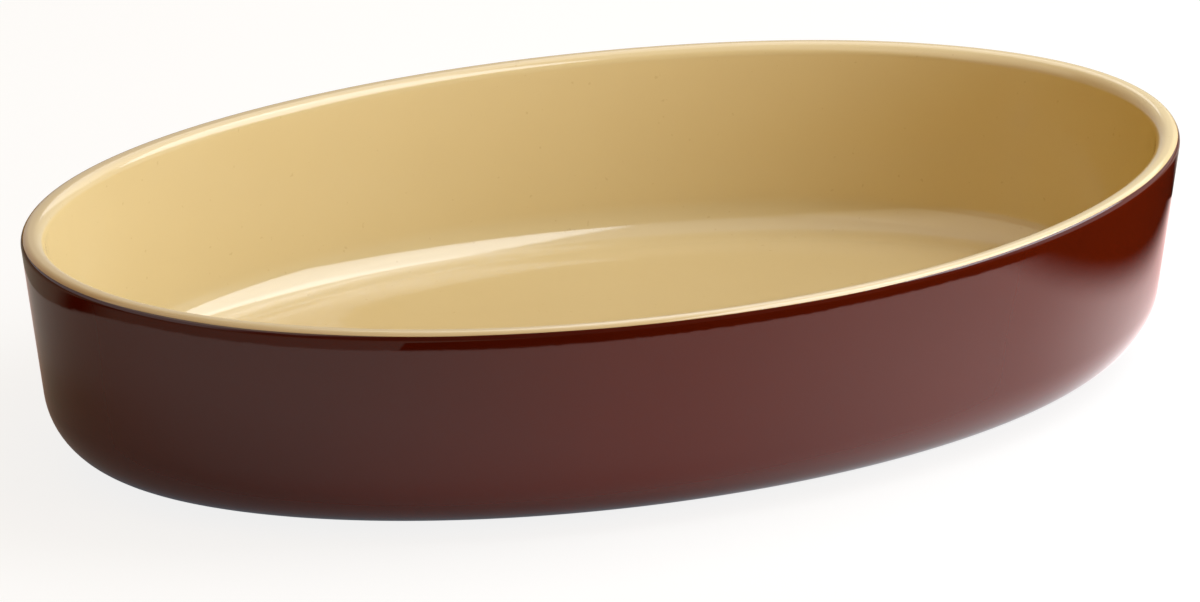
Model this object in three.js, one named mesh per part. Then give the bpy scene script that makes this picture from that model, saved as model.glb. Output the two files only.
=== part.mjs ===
// Oval stoneware baking dish: one fired clay body, and the glaze coats fused to it.
// Millimetres, +Z up, +X along the dish. The origin is under the middle, on the table.

import * as THREE from 'three';

// Driving dimensions, in millimetres, and in degrees where the name says so.
const rimLength = 320;
const rimWidth = 204;
const bowlHeight = 59.3;
const rimDip = 1.4;
const wallLeanDegrees = 7.6;
const wallThickness = 6.2;
const floorThickness = 7;
const outerCorner = 19.5;
const innerCorner = 10.5;
const lipOuter = 2.2;
const rimFlat = 0.6;
const footHeight = 1.2;
const baseHollow = 3;
const footWidth = 5;
const footInset = 1.5;
const footEdge = 0.4;
const glazeThickness = 0.5;
const glazeSeat = 0.05;
const glazeLineDegrees = 38;

// How finely the round stretches are cut.
const ovalSegments = 72;
const cornerSteps = 6;
const lipSteps = 4;
const edgeSteps = 2;

// Worked out from the driving dimensions.
const halfLength = rimLength / 2;
const halfWidth = rimWidth / 2;
const lean = THREE.MathUtils.degToRad(wallLeanDegrees);
const glazeLine = THREE.MathUtils.degToRad(glazeLineDegrees);
const down = -Math.PI / 2;
const up = Math.PI / 2;
const underside = footHeight;
const rimTop = underside + bowlHeight;
const floorTop = baseHollow + floorThickness;
const lipInner = wallThickness - lipOuter - rimFlat;

// The section is drawn with x out from the middle of the dish, along its half width, and y up.
// This is the x of the wall at a height, at a depth measured square to the outer face.
function wallX(height, depth) {
  const faceX = halfWidth - lipOuter * (1 - 1 / Math.cos(lean));
  const fallX = (rimTop - lipOuter - height) * Math.tan(lean);
  return faceX - fallX - depth / Math.cos(lean);
}

// Each rounding of the section: its middle and its radius on the finished, glazed surface.
const outerLipRound = {
  x: wallX(rimTop - lipOuter, lipOuter),
  y: rimTop - lipOuter,
  radius: lipOuter,
};
const innerLipRound = {
  x: wallX(rimTop - lipInner, wallThickness - lipInner),
  y: rimTop - lipInner,
  radius: lipInner,
};
const outerCornerRound = {
  x: wallX(underside + outerCorner, outerCorner),
  y: underside + outerCorner,
  radius: outerCorner,
};
const innerCornerRound = {
  x: wallX(floorTop + innerCorner, wallThickness + innerCorner),
  y: floorTop + innerCorner,
  radius: innerCorner,
};

// The foot ring stands in from where the outer corner meets the underside.
const footOuterX = outerCornerRound.x - footInset;
const footInnerX = footOuterX - footWidth;

function arc(round, growth, from, to, steps) {
  const turnsBack = to < from;
  const curve = new THREE.ArcCurve(round.x, round.y, round.radius + growth, from, to, turnsBack);
  return curve.getPoints(steps);
}

// The inside, from the middle of the floor to the top of the lip, at a depth under the surface.
function insideLine(depth) {
  return [
    new THREE.Vector2(0, floorTop - depth),
    ...arc(innerCornerRound, depth, down, -lean, cornerSteps),
    ...arc(innerLipRound, -depth, Math.PI - lean, up, lipSteps),
  ];
}

// The outer rounding of the lip, between two angles.
function lipLine(depth, from, to, steps) {
  return arc(outerLipRound, -depth, from, to, steps);
}

// The outer corner, from the wall to the flat underside.
function cornerLine(depth) {
  return arc(outerCornerRound, -depth, -lean, down, cornerSteps);
}

// The bare foot ring and the hollow inside it, from the ring's outer side to the axis.
function footLine(depth) {
  return [
    new THREE.Vector2(footOuterX, underside + depth),
    new THREE.Vector2(footOuterX, footEdge),
    new THREE.Vector2(footOuterX - footEdge, 0),
    new THREE.Vector2(footInnerX + footEdge, 0),
    new THREE.Vector2(footInnerX, footEdge),
    new THREE.Vector2(footInnerX, baseHollow + depth),
    new THREE.Vector2(0, baseHollow + depth),
  ];
}

// How far the rim sinks along the long sides. It fades out towards the rounded corner.
function dip(bearing, height) {
  const wallFoot = underside + outerCorner;
  const rise = Math.max(0, (height - wallFoot) / (rimTop - wallFoot));
  return rimDip * rise ** 2 * Math.sin(bearing) ** 2;
}

// Turns a section once round, stands it up along +Z and lays each point on the oval: its distance
// in from the rim is kept, measured square to the rim's ellipse. Points on the axis stay there.
// Sections run from the top face outwards, and the faces point out when that is turned round.
function turnOnOval(section) {
  const geometry = new THREE.LatheGeometry(section.toReversed(), ovalSegments);
  const place = geometry.getAttribute('position');
  for (let i = 0; i < place.count; i += 1) {
    const height = place.getY(i);
    const radius = Math.hypot(place.getX(i), place.getZ(i));
    const bearing = Math.atan2(-place.getZ(i), place.getX(i));
    const normal = new THREE.Vector2(
      halfWidth * Math.cos(bearing),
      halfLength * Math.sin(bearing),
    ).normalize();
    const rim = new THREE.Vector2(
      halfLength * Math.cos(bearing),
      halfWidth * Math.sin(bearing),
    );
    const spot = radius > 0 ? rim.addScaledVector(normal, radius - halfWidth) : new THREE.Vector2();
    place.setXYZ(i, spot.x, spot.y, height - dip(bearing, height));
  }
  geometry.computeVertexNormals();
  return geometry;
}

function finish(color, roughness) {
  return new THREE.MeshStandardMaterial({ color, roughness, metalness: 0 });
}

// The depth of the clay under the finished surface, and of each coat's inner face just over it.
const clayDepth = glazeThickness;
const coatDepth = glazeThickness - glazeSeat;

// Fired clay: floor, wall and lip in one, with the bare foot ring under it.
function stonewareBody() {
  const section = [
    ...insideLine(clayDepth),
    ...lipLine(clayDepth, up, -lean, lipSteps),
    ...cornerLine(clayDepth),
    ...footLine(clayDepth),
  ];
  const body = new THREE.Mesh(turnOnOval(section), finish('#cbb592', 0.85));
  body.name = 'stoneware_body';
  return body;
}

// Cream glaze: all of the inside, over the lip, and down to the glaze line on its outer side.
function creamLinerGlaze() {
  const face = [...insideLine(0), ...lipLine(0, up, glazeLine, lipSteps)];
  const back = [...insideLine(coatDepth), ...lipLine(coatDepth, up, glazeLine, lipSteps)];
  const section = [...face, ...back.reverse()];
  const coat = new THREE.Mesh(turnOnOval(section), finish('#dfc28a', 0.12));
  coat.name = 'cream_liner_glaze';
  return coat;
}

// Oxblood glaze: from the glaze line, down the wall and under the corner to the foot ring.
function oxbloodOuterGlaze() {
  const start = glazeLine - glazeSeat / lipOuter;
  const endX = footOuterX + glazeSeat;
  const face = [
    ...lipLine(0, start, -lean, edgeSteps),
    ...cornerLine(0),
    new THREE.Vector2(endX, underside),
  ];
  const back = [
    ...lipLine(coatDepth, start, -lean, edgeSteps),
    ...cornerLine(coatDepth),
    new THREE.Vector2(endX, underside + coatDepth),
  ];
  const section = [...face, ...back.reverse(), face[0]];
  const coat = new THREE.Mesh(turnOnOval(section), finish('#641a10', 0.1));
  coat.name = 'oxblood_outer_glaze';
  return coat;
}

// Oxblood glaze on the hollow of the underside, inside the foot ring.
function oxbloodBaseGlaze() {
  const edgeX = footInnerX - glazeSeat;
  const section = [
    new THREE.Vector2(0, baseHollow + coatDepth),
    new THREE.Vector2(edgeX, baseHollow + coatDepth),
    new THREE.Vector2(edgeX, baseHollow),
    new THREE.Vector2(0, baseHollow),
  ];
  const coat = new THREE.Mesh(turnOnOval(section), finish('#5a1810', 0.14));
  coat.name = 'oxblood_base_glaze';
  return coat;
}

const dish = new THREE.Group();
dish.add(stonewareBody(), creamLinerGlaze(), oxbloodOuterGlaze(), oxbloodBaseGlaze());

export default dish;
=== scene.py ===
import math

import bmesh
import bpy
import numpy as np
from mathutils import Matrix, Vector


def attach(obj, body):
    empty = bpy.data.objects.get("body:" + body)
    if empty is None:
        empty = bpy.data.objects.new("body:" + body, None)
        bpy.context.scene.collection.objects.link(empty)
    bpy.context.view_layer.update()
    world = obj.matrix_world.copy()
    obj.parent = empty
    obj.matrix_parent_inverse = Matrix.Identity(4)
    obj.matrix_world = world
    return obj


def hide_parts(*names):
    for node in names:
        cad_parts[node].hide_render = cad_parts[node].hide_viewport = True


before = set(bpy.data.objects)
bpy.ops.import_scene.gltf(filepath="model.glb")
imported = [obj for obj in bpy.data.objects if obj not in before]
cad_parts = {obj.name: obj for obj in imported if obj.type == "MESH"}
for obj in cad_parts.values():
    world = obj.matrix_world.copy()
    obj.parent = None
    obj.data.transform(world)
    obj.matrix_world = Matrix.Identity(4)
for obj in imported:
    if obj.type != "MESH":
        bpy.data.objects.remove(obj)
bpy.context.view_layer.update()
print("frame loaded:", ", ".join(sorted(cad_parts)))


# the photograph's camera: long lens, a little to the left of the dish and above it
photoCamera = {
    "azimuth": -25.928,
    "elevation": 19.966,
    "distance": 3.7234,
    "lens": 428.6,
    "sensorWidth": 36.0,
    "clipEnd": 100,
    "aim": Vector((0, 0, 0.0301)),
    "slideRight": -0.00163,
    "slideUp": -0.00322,
}


def placeCamera(view):
    azimuth = math.radians(view["azimuth"])
    elevation = math.radians(view["elevation"])
    back = Vector((
        math.sin(azimuth) * math.cos(elevation),
        -math.cos(azimuth) * math.cos(elevation),
        math.sin(elevation),
    ))
    right = Vector((math.cos(azimuth), math.sin(azimuth), 0))
    up = back.cross(right)
    spot = view["aim"] + back * view["distance"] + right * view["slideRight"] + up * view["slideUp"]
    lens = bpy.data.cameras.new("photoCamera")
    lens.lens = view["lens"]
    lens.sensor_width = view["sensorWidth"]
    lens.clip_end = view["clipEnd"]
    camera = bpy.data.objects.new("photoCamera", lens)
    bpy.context.scene.collection.objects.link(camera)
    turn = Matrix((right, up, back)).transposed().to_4x4()
    camera.matrix_world = Matrix.Translation(spot) @ turn
    bpy.context.scene.camera = camera


placeCamera(photoCamera)
print("camera placed")


# a socket that takes part in Python sums, each sum adding its Math node
class Wire:
    def __init__(self, tree, node, socket):
        self.tree = tree
        self.node = node
        self.socket = socket

    def take(self, name):
        return Wire(self.tree, self.node, self.node.outputs[name])

    def sum(self, operation, *terms):
        return self.tree.add("ShaderNodeMath", {"operation": operation}, dict(enumerate(terms)))

    def __add__(self, other):
        return self.sum("ADD", self, other)

    def __radd__(self, other):
        return self.sum("ADD", other, self)

    def __sub__(self, other):
        return self.sum("SUBTRACT", self, other)

    def __rsub__(self, other):
        return self.sum("SUBTRACT", other, self)

    def __mul__(self, other):
        return self.sum("MULTIPLY", self, other)

    def __rmul__(self, other):
        return self.sum("MULTIPLY", other, self)

    def __truediv__(self, other):
        return self.sum("DIVIDE", self, other)

    def __pow__(self, other):
        return self.sum("POWER", self, other)

    def ramp(self, low, high):  # 0 at low, 1 at high, smooth between
        return self.tree.add(
            "ShaderNodeMapRange",
            {"interpolation_type": "SMOOTHSTEP"},
            {"Value": self, "From Min": low, "From Max": high},
        )


class FinishTree:
    def __init__(self, owner):
        owner.use_nodes = True
        self.nodes = owner.node_tree.nodes
        self.links = owner.node_tree.links
        self.nodes.clear()

    def add(self, kind, settings=None, sockets=None, out=0):
        node = self.nodes.new(kind)
        for name, value in (settings or {}).items():
            setattr(node, name, value)
        for name, value in (sockets or {}).items():
            socket = node.inputs[name]
            if isinstance(value, Wire):
                self.links.new(value.socket, socket)
            else:
                socket.default_value = value
        return Wire(self, node, node.outputs[out] if len(node.outputs) else None)

    def mix(self, share, first, second, blend="MIX"):  # two colours
        return self.add(
            "ShaderNodeMix",
            {"data_type": "RGBA", "blend_type": blend},
            {0: share, 6: first, 7: second},
            out=2,
        )

    def place(self):  # metres, in the dish's own frame
        return self.add("ShaderNodeTexCoord", out="Object")

    def cloud(self, scale, detail=2.0, rough=0.5):
        return self.add(
            "ShaderNodeTexNoise", {},
            {"Vector": self.place(), "Scale": scale, "Detail": detail, "Roughness": rough},
        )

    def attribute(self, name):
        return self.add("ShaderNodeAttribute", {"attribute_name": name}, out="Fac")

    def bump(self, height, depth):
        return self.add("ShaderNodeBump", {}, {"Height": height, "Distance": depth, "Strength": 1.0})

    def rippled(self, look):  # the fine peel and slow swell of a fired glaze
        height = self.cloud(look["peelSize"], 2) * look["peelShare"] + self.cloud(look["swellSize"], 1)
        return self.bump(height, look["rippleDepth"])

    def surface(self, shader):
        self.add("ShaderNodeOutputMaterial", {}, {"Surface": shader})


# the dish, in metres and degrees: the same as the solids, apart from the small strays at the end
dish = {
    "rimLength": 0.320,
    "rimWidth": 0.204,
    "bowlHeight": 0.0593,
    "rimDip": 0.0014,
    "wallLean": 7.6,
    "wallThickness": 0.0062,
    "floorThickness": 0.007,
    "outerCorner": 0.0195,
    "innerCorner": 0.0105,
    "lipOuter": 0.0022,
    "rimFlat": 0.0006,
    "footHeight": 0.0012,
    "baseHollow": 0.003,
    "footWidth": 0.005,
    "footInset": 0.0015,
    "footEdge": 0.0004,
    "glaze": 0.0005,
    "glazeSeat": 0.00005,
    "glazeLine": 38.0,  # where the glazes meet, in degrees round the lip
    "lineRise": 18.0,  # how much higher they meet at one end
    "riseBearing": -45.0,
    "riseSpan": 24.0,
    "lineWander": 5.0,
    "wallWander": 0.00008,  # how far the wall strays from a true oval
}
fineness = {"around": 288, "corner": 20, "lip": 14, "wall": 12, "crease": 40.0}

# waves round the dish: how many, where they start, how big, and for the wall how they twist upwards
lineWaves = [(3, 0.8, 1.0), (7, 2.1, 0.6), (17, 4.0, 0.4)]
wallWaves = [(3, 1.3, 1.0, 14), (5, 0.4, 0.7, -22), (9, 2.9, 0.5, 0)]

halfLength = dish["rimLength"] / 2
halfWidth = dish["rimWidth"] / 2
lean = math.radians(dish["wallLean"])
underside = dish["footHeight"]
rimTop = underside + dish["bowlHeight"]
floorTop = dish["baseHollow"] + dish["floorThickness"]
lipInner = dish["wallThickness"] - dish["lipOuter"] - dish["rimFlat"]
quarter = math.pi / 2
bearings = np.arange(fineness["around"]) * 2 * math.pi / fineness["around"]


# how far in from the rim's oval the wall is, at a height and a depth under its outer face
def wallInset(height, depth):
    fall = (rimTop - dish["lipOuter"] - height) * math.tan(lean)
    return dish["lipOuter"] * (1 - 1 / math.cos(lean)) + fall + depth / math.cos(lean)


def roundAt(height, depth, radius):
    return {"inset": wallInset(height, depth), "height": height, "radius": radius}


outerLip = roundAt(rimTop - dish["lipOuter"], dish["lipOuter"], dish["lipOuter"])
innerLip = roundAt(rimTop - lipInner, dish["wallThickness"] - lipInner, lipInner)
outerTurn = roundAt(underside + dish["outerCorner"], dish["outerCorner"], dish["outerCorner"])
innerTurn = roundAt(
    floorTop + dish["innerCorner"],
    dish["wallThickness"] + dish["innerCorner"],
    dish["innerCorner"],
)
footOuter = outerTurn["inset"] + dish["footInset"]
footInner = footOuter + dish["footWidth"]


# points (inset, height) round an arc, angles measured from straight out
def arc(bend, growth, start, end, steps):
    angles = np.linspace(start, end, steps + 1)
    radius = bend["radius"] + growth
    return [
        (bend["inset"] - radius * math.cos(a), bend["height"] + radius * math.sin(a))
        for a in angles
    ]


def between(first, last, steps):  # the points strictly between two others
    shares = np.linspace(0, 1, steps + 1)[1:-1]
    return [tuple(np.array(first) * (1 - s) + np.array(last) * s) for s in shares]


def insideLine(depth):
    corner = arc(innerTurn, depth, -quarter, -lean, fineness["corner"])
    lip = arc(innerLip, -depth, math.pi - lean, quarter, fineness["lip"])
    return corner + between(corner[-1], lip[0], fineness["wall"]) + lip


def lipLine(depth, start, end):
    return arc(outerLip, -depth, start, end, fineness["lip"])


def outsideLine(depth, start):
    lip = lipLine(depth, start, -lean)
    corner = arc(outerTurn, -depth, -lean, -quarter, fineness["corner"])
    return lip + between(lip[-1], corner[0], fineness["wall"]) + corner


# the line strays a little round the lip, as where a dipped coat was wiped
def glazeLineAt(bearing):
    stray = sum(size * math.sin(count * bearing + start) for count, start, size in lineWaves)
    stray = stray / sum(size for _, _, size in lineWaves)
    apart = math.remainder(bearing - math.radians(dish["riseBearing"]), 2 * math.pi)
    rise = dish["lineRise"] * math.exp(-((apart / math.radians(dish["riseSpan"])) ** 2))
    return math.radians(dish["glazeLine"] + rise + dish["lineWander"] * stray)


# lays sections (one for each bearing) on the oval; the same stray serves every coat
def layOnOval(sections):
    rows = np.array(sections)
    turn = bearings[:, None]
    inset, height = rows[..., 0], rows[..., 1]
    stray = sum(
        size * np.sin(count * turn + start + twist * height)
        for count, start, size, twist in wallWaves
    )
    stray = stray * dish["wallWander"] * np.clip((height - underside) / dish["outerCorner"], 0, 1)
    normal = np.stack([halfWidth * np.cos(turn), halfLength * np.sin(turn)], -1)
    normal = normal / np.linalg.norm(normal, axis=-1, keepdims=True)
    rim = np.stack([halfLength * np.cos(turn), halfWidth * np.sin(turn)], -1)
    flat = rim - (inset + stray)[..., None] * normal
    wallFoot = underside + dish["outerCorner"]
    rise = np.clip((height - wallFoot) / (rimTop - wallFoot), 0, None)
    dip = dish["rimDip"] * rise**2 * np.sin(turn) ** 2
    return np.concatenate([flat, (height - dip)[..., None]], -1)


# a flat oval inside a ring of points, in quads, with no pole in the middle
def fillRing(mesh, ring):
    side = len(ring) // 4
    slopes = math.sqrt(2) * np.sin(np.linspace(-quarter / 2, quarter / 2, side + 1))
    places = np.array([v.co for v in ring])
    start = len(ring) - side // 2  # the ring point at the square's first corner
    grid = {}
    for k in range(side):
        grid[side, k] = ring[(start + k) % len(ring)]
        grid[side - k, side] = ring[(start + side + k) % len(ring)]
        grid[0, side - k] = ring[(start + 2 * side + k) % len(ring)]
        grid[k, 0] = ring[(start + 3 * side + k) % len(ring)]
    angles = np.append(bearings, 2 * math.pi)
    looped = np.vstack([places, places[:1]])
    for i in range(1, side):
        for j in range(1, side):
            across = slopes[i] * math.sqrt(1 - slopes[j] ** 2 / 2)
            along = slopes[j] * math.sqrt(1 - slopes[i] ** 2 / 2)
            reach = math.hypot(across, along)
            bearing = math.atan2(along, across) % (2 * math.pi)
            edge = [np.interp(bearing, angles, looped[:, c]) for c in range(3)]
            grid[i, j] = mesh.verts.new((edge[0] * reach, edge[1] * reach, edge[2]))
    for i in range(side):
        for j in range(side):
            mesh.faces.new([grid[i, j], grid[i + 1, j], grid[i + 1, j + 1], grid[i, j + 1]])


# turns the sections into one closed body: filled at both ends, or joined end to start
# "thin" says, row by row, where a coat runs thin
def turnedPiece(name, sections, filled, thin=()):
    places = layOnOval(sections)
    mesh = bmesh.new()
    rings = [[mesh.verts.new(p) for p in places[:, row]] for row in range(places.shape[1])]
    pairs = list(zip(rings, rings[1:]))
    if not filled:
        pairs.append((rings[-1], rings[0]))
    count = len(bearings)
    for lower, upper in pairs:
        for k in range(count):
            after = (k + 1) % count
            mesh.faces.new([lower[k], lower[after], upper[after], upper[k]])
    if filled:
        fillRing(mesh, rings[0])
        fillRing(mesh, rings[-1])
    bmesh.ops.recalc_face_normals(mesh, faces=mesh.faces)
    data = bpy.data.meshes.new(name)
    mesh.to_mesh(data)
    mesh.free()
    data.polygons.foreach_set("use_smooth", [True] * len(data.polygons))
    data.set_sharp_from_angle(angle=math.radians(fineness["crease"]))
    if len(thin):
        shares = np.zeros(len(data.vertices))
        rows = np.repeat(thin, count)
        shares[:len(rows)] = rows
        data.attributes.new("thin", "FLOAT", "POINT").data.foreach_set("value", shares)
    piece = bpy.data.objects.new(name, data)
    bpy.context.scene.collection.objects.link(piece)
    return piece


def dress(piece, node, material):
    piece.data.materials.append(material)
    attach(piece, "root")
    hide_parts(node)
    print("made", piece.name, len(piece.data.polygons), "faces")


# cream glaze: inside, over the lip and down to the glaze line
creamGlaze = {
    "colour": (0.742, 0.603, 0.328, 1),
    "pale": (0.754, 0.618, 0.344, 1),
    "thin": (0.60, 0.41, 0.17, 1),  # where the coat runs thin, next to the glaze line
    "thinShare": 0.7,
    "speck": (0.52, 0.36, 0.16, 1),
    "speckSize": 620,
    "speckFrom": (0.74, 0.80),
    "speckShare": 0.25,
    "cloudSize": 22,
    "cloudFrom": (0.35, 0.7),
    "cloudShare": 0.6,
    "peelSize": 240,
    "peelShare": 0.2,
    "swellSize": 30,
    "rippleDepth": 0.00006,
    "roughness": 0.07,
    "roughSpread": 0.03,
    "refraction": 1.64,
}


def creamFinish(look):
    material = bpy.data.materials.new("creamGlaze")
    tree = FinishTree(material)
    clouds = tree.cloud(look["cloudSize"], 3)
    specks = tree.cloud(look["speckSize"], 1).ramp(*look["speckFrom"])
    cloudShare = clouds.ramp(*look["cloudFrom"]) * look["cloudShare"]
    colour = tree.mix(cloudShare, look["colour"], look["pale"])
    colour = tree.mix(specks * look["speckShare"], colour, look["speck"])
    colour = tree.mix(tree.attribute("thin") * look["thinShare"], colour, look["thin"])
    shader = tree.add("ShaderNodeBsdfPrincipled", {}, {
        "Base Color": colour,
        "Roughness": look["roughness"] + clouds * look["roughSpread"],
        "IOR": look["refraction"],
        "Normal": tree.rippled(look),
    })
    tree.surface(shader)
    return material


def creamLiner():
    coat = dish["glaze"] - dish["glazeSeat"]
    sections = []
    for bearing in bearings:
        line = glazeLineAt(bearing)
        face = insideLine(0) + lipLine(0, quarter, line)[1:]
        back = insideLine(coat) + lipLine(coat, quarter, line)[1:]
        sections.append(face + back[::-1])
    lip = np.linspace(0, 1, fineness["lip"] + 1)[1:] ** 2
    thin = np.concatenate([np.zeros(len(insideLine(0))), lip])
    return turnedPiece("creamLinerGlaze", sections, filled=True, thin=thin)


dress(creamLiner(), "cream_liner_glaze", creamFinish(creamGlaze))


# oxblood glaze: the outer wall, and the hollow of the underside
oxbloodGlaze = {
    "colour": (0.076, 0.0062, 0.0006, 1),
    "deep": (0.070, 0.0060, 0.0009, 1),
    "thin": (0.13, 0.028, 0.008, 1),
    "thinShare": 0.5,
    "thinRows": [1.0, 0.5],  # only the first edge of the face
    "runSize": 18,
    "runFrom": (0.35, 0.7),
    "runShare": 0.7,
    "peelSize": 240,
    "peelShare": 0.2,
    "swellSize": 30,
    "rippleDepth": 0.00004,
    "roughness": 0.02,
    "roughSpread": 0.03,
    "refraction": 1.56,
}


def oxbloodFinish(look):
    material = bpy.data.materials.new("oxbloodGlaze")
    tree = FinishTree(material)
    runs = tree.cloud(look["runSize"], 2)
    runShare = runs.ramp(*look["runFrom"]) * look["runShare"]
    colour = tree.mix(runShare, look["colour"], look["deep"])
    colour = tree.mix(tree.attribute("thin") * look["thinShare"], colour, look["thin"])
    shader = tree.add("ShaderNodeBsdfPrincipled", {}, {
        "Base Color": colour,
        "Roughness": look["roughness"] + runs * look["roughSpread"],
        "IOR": look["refraction"],
        "Normal": tree.rippled(look),
    })
    tree.surface(shader)
    return material


def oxbloodWall():
    coat = dish["glaze"] - dish["glazeSeat"]
    end = footOuter - dish["glazeSeat"]
    sections = []
    for bearing in bearings:
        start = glazeLineAt(bearing) - dish["glazeSeat"] / dish["lipOuter"]
        face = outsideLine(0, start) + [(end, underside)]
        back = outsideLine(coat, start) + [(end, underside + coat)]
        sections.append(face + back[::-1])
    return turnedPiece("oxbloodOuterGlaze", sections, filled=False, thin=oxbloodGlaze["thinRows"])


def oxbloodBase():
    coat = dish["glaze"] - dish["glazeSeat"]
    edge = footInner + dish["glazeSeat"]
    section = [(edge, dish["baseHollow"] + coat), (edge, dish["baseHollow"])]
    return turnedPiece("oxbloodBaseGlaze", [section] * len(bearings), filled=True)


oxblood = oxbloodFinish(oxbloodGlaze)
dress(oxbloodWall(), "oxblood_outer_glaze", oxblood)
dress(oxbloodBase(), "oxblood_base_glaze", oxblood)


# bare stoneware: only the foot ring shows
stoneware = {
    "colour": (0.58, 0.46, 0.31, 1),
    "speck": (0.20, 0.12, 0.07, 1),
    "speckSize": 520,
    "speckFrom": (0.66, 0.72),
    "speckShare": 0.6,
    "grainSize": 900,
    "grainRough": 0.7,
    "grainDepth": 0.0002,
    "roughness": 0.8,
    "roughSpread": 0.1,
}


def stonewareFinish(look):
    material = bpy.data.materials.new("stonewareClay")
    tree = FinishTree(material)
    grain = tree.cloud(look["grainSize"], 4, look["grainRough"])
    specks = tree.cloud(look["speckSize"], 2).ramp(*look["speckFrom"])
    colour = tree.mix(specks * look["speckShare"], look["colour"], look["speck"])
    shader = tree.add("ShaderNodeBsdfPrincipled", {}, {
        "Base Color": colour,
        "Roughness": look["roughness"] + grain * look["roughSpread"],
        "Normal": tree.bump(grain, look["grainDepth"]),
    })
    tree.surface(shader)
    return material


def stonewareBody():
    depth = dish["glaze"]
    edge = dish["footEdge"]
    foot = [
        (footOuter, underside + depth),
        (footOuter, edge),
        (footOuter + edge, 0),
        (footInner - edge, 0),
        (footInner, edge),
        (footInner, dish["baseHollow"] + depth),
    ]
    section = insideLine(depth) + outsideLine(depth, quarter) + foot
    return turnedPiece("stonewareBody", [section] * len(bearings), filled=True)


dress(stonewareBody(), "stoneware_body", stonewareFinish(stoneware))


# studio: a pale floor, and in reflections only a painted reflection on it: a lit sheet with painted
# glow patches, and round the sheet dark paper painted in as a dim room
studio = {
    "floorSize": 40.0,
    "floorDrop": 0.0001,
    "paper": 0.8,
    "cameraPaper": 0.2,
    "cameraLift": 0.85,
    "sheetMiddle": (-0.005, 0.0),
    "sheetReach": (0.235, 0.1775),
    "sheetBlur": 0.003,
    "endFacing": (0.953, -0.302),  # painted shade: past this line the sheet's right end fades to the dark surround in reflections
    "endFade": (0.180, 0.207),
    "sheetPaper": 0.68,
    # painted light: the whole sheet's faint glow, seen only in reflections
    "sheetGlow": (0.02, 0.05, 0.085, 1),
    "warmGlow": (0.44, 0.06, 0.075, 1),  # painted light: a warm glow on the sheet in the middle and at the right
    "warmFrom": (-0.17, -0.02),
    "warmClear": (0.82, 1.05),  # in dish sizes from the middle: none of it close under the wall
    "nearGlow": 0.095,  # painted light: the sheet glows more on the side towards the camera
    "nearFrom": (0.05, -0.06),
    "sheen": 0.36,  # painted light: a glowing patch, brightest at the right of the sheet and most of all close to the dish
    "sheenMiddle": (0.087, -0.081),
    "sheenReach": (0.064, 0.071),
    # painted reflection: a small, bright glowing patch on the floor by the dish's right end
    "gleam": 0.76,
    "gleamMiddle": (0.149, -0.038),
    "gleamReach": (0.035, 0.035),
    "patchFade": (0, 2),  # both patches fade out at twice their reach
    # painted shade: near-black paper round the sheet stands in for a dim room in reflections
    "dimPaper": 0.004,
    "litPaper": 0.4,  # painted reflection: paler paper beyond the sheet, at the left and well behind the dish
    "leftFrom": (-0.132, -0.134),
    "leftFade": (0.05, 0.0),
    "backFrom": (0.06, 0.1),
    "worldLevel": 0.32,
    "worldTint": (1.0, 0.53, 0.0, 1),
    "worldGleam": 0.7,
    "frontGleam": 0.06,  # the room is dark behind the camera
    "frontFade": (-0.6, -0.3),
}
softBoxes = {
    "keyBox": {
        "bearing": -18,  # from +X, towards +Y
        "height": 51,
        "distance": 0.75,
        "slide": 0.03,  # along the box's own width
        "wide": 0.54,
        "tall": 0.56,
        "glow": 4.0,
        "tint": (0.9, 1.0, 1.1),
        "lights": True,
        "gleams": True,
    },
    "frontCard": {
        "bearing": -37,
        "height": 14,
        "distance": 0.9,
        "slide": 0.0,
        "wide": 0.9,
        "tall": 0.4,
        "glow": 5.0,
        "tint": (0.96, 1.0, 1.03),
        "lights": True,
        "gleams": False,  # its own shine stays off the glaze
    },
    "rimCard": {
        "bearing": 40,
        "height": 46,
        "distance": 0.75,
        "slide": 0.0,
        "wide": 0.62,
        "tall": 0.52,
        "glow": 1.4,
        "tint": (1.0, 1.0, 1.0),
        "lights": False,
        "gleams": True,
    },
    "topBox": {
        "bearing": 0,
        "height": 80,
        "distance": 0.85,
        "slide": 0.0,
        "wide": 0.8,
        "tall": 0.8,
        "glow": 0.35,
        "tint": (1.0, 1.0, 1.0),
        "lights": True,
        "gleams": True,
    },
    "leftCard": {
        "bearing": -170,
        "height": 53,
        "distance": 0.85,
        "slide": 0.0,
        "wide": 1.0,
        "tall": 0.76,
        "glow": 0.8,
        "tint": (1.0, 0.92, 0.7),
        "lights": False,  # only seen in the glaze
        "gleams": True,
    },
}


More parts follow.
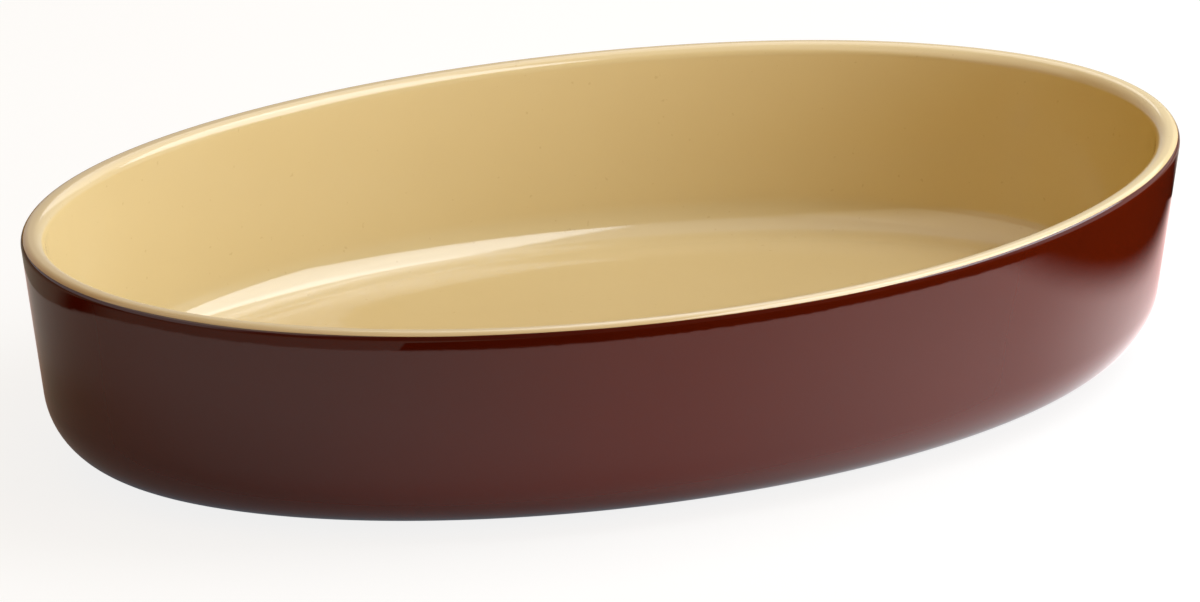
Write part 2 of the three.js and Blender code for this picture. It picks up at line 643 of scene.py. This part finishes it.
def floorFinish(look):
    material = bpy.data.materials.new("paleFloor")
    material.cycles.emission_sampling = "NONE"
    tree = FinishTree(material)
    path = tree.add("ShaderNodeLightPath")
    geometry = tree.add("ShaderNodeNewGeometry")
    spot = tree.add("ShaderNodeSeparateXYZ", {}, {0: geometry.take("Position")})
    x, y = spot.take("X"), spot.take("Y")

    def paper(level):
        return tree.add("ShaderNodeBsdfDiffuse", {}, {"Color": (level, level, level, 1)})

    def glow(level):
        return tree.add("ShaderNodeEmission", {}, {"Strength": level})

    def blend(share, first, second):
        return tree.add("ShaderNodeMixShader", {}, {0: share, 1: first, 2: second})

    def both(first, second):
        return tree.add("ShaderNodeAddShader", {}, {0: first, 1: second})

    def farFrom(middle, reach):
        across, along = (x - middle[0]) / reach[0], (y - middle[1]) / reach[1]
        return (across * across + along * along) ** 0.5

    # painted reflection: what reflections see, a glowing sheet with dark and pale paper round it
    blur = look["sheetBlur"]
    offFront = farFrom(look["sheetMiddle"], look["sheetReach"]).ramp(1 - blur, 1 + blur)
    offEnd = (x * look["endFacing"][0] + y * look["endFacing"][1]).ramp(*look["endFade"])
    offSheet = offFront.sum("MAXIMUM", offFront, offEnd)
    sheen = 1 - farFrom(look["sheenMiddle"], look["sheenReach"]).ramp(*look["patchFade"])
    gleam = 1 - farFrom(look["gleamMiddle"], look["gleamReach"]).ramp(*look["patchFade"])
    level = y.ramp(*look["nearFrom"]) * look["nearGlow"]
    level = level + sheen * look["sheen"] + gleam * look["gleam"]
    warmClear = farFrom((0, 0), (halfLength, halfWidth)).ramp(*look["warmClear"])
    warm = x.ramp(*look["warmFrom"]) * warmClear
    warmth = tree.mix(warm, look["sheetGlow"], look["warmGlow"])
    colour = tree.mix(1.0, warmth, level, "ADD")
    sheetGlow = tree.add("ShaderNodeEmission", {}, {"Color": colour})
    sheet = both(paper(look["sheetPaper"]), sheetGlow)
    leftFront = x.ramp(*look["leftFrom"]) * y.ramp(*look["leftFade"])
    around = blend(leftFront, paper(look["dimPaper"]), paper(look["litPaper"]))
    around = blend(y.ramp(*look["backFrom"]), around, paper(look["litPaper"]))
    reflected = blend(offSheet, sheet, around)

    lit = blend(path.take("Is Glossy Ray"), paper(look["paper"]), reflected)
    seen = both(paper(look["cameraPaper"]), glow(look["cameraLift"]))
    above = blend(path.take("Is Camera Ray"), lit, seen)
    clear = tree.add("ShaderNodeBsdfTransparent")
    tree.surface(blend(geometry.take("Backfacing"), above, clear))
    return material


def makeFloor(look):
    mesh = bmesh.new()
    bmesh.ops.create_grid(mesh, x_segments=1, y_segments=1, size=look["floorSize"] / 2)
    data = bpy.data.meshes.new("floor")
    mesh.to_mesh(data)
    mesh.free()
    floor = bpy.data.objects.new("floor", data)
    floor.location.z = -look["floorDrop"]
    bpy.context.scene.collection.objects.link(floor)
    data.materials.append(floorFinish(look))


def lightWorld(look):
    world = bpy.data.worlds.new("studioWorld")
    bpy.context.scene.world = world
    tree = FinishTree(world)
    path = tree.add("ShaderNodeLightPath")
    white = (1, 1, 1, 1)
    facing = tree.add("ShaderNodeTexCoord", out="Generated")
    back = tree.add("ShaderNodeSeparateXYZ", {}, {0: facing}).take("Y")
    gleam = tree.mix(
        back.ramp(*look["frontFade"]),
        [look["frontGleam"]] * 3 + [1],
        [look["worldGleam"]] * 3 + [1],
    )
    wash = [look["worldLevel"] * c for c in look["worldTint"]]
    level = tree.mix(path.take("Is Glossy Ray"), wash, gleam)
    seen = tree.mix(path.take("Is Camera Ray"), level, white)
    glow = tree.add("ShaderNodeBackground", {}, {"Color": seen})
    tree.add("ShaderNodeOutputWorld", {}, {"Surface": glow})


def hangSoftBox(name, box):
    bearing, height = math.radians(box["bearing"]), math.radians(box["height"])
    outward = Vector((
        math.cos(bearing) * math.cos(height),
        math.sin(bearing) * math.cos(height),
        math.sin(height),
    ))
    lamp = bpy.data.lights.new(name, "AREA")
    lamp.shape = "RECTANGLE"
    lamp.size = box["wide"]
    lamp.size_y = box["tall"]
    lamp.energy = box["glow"] * math.pi * box["wide"] * box["tall"]
    lamp.color = box["tint"]
    light = bpy.data.objects.new(name, lamp)
    across = Vector((-math.sin(bearing), math.cos(bearing), 0))
    light.location = outward * box["distance"] + across * box["slide"]
    light.rotation_euler = outward.to_track_quat("Z", "Y").to_euler()
    light.visible_camera = False
    light.visible_diffuse = box["lights"]
    light.visible_glossy = box["gleams"]
    bpy.context.scene.collection.objects.link(light)


makeFloor(studio)
lightWorld(studio)
for boxName, box in softBoxes.items():
    hangSoftBox(boxName, box)
bpy.context.scene.view_settings.view_transform = "Standard"
print("studio lit")
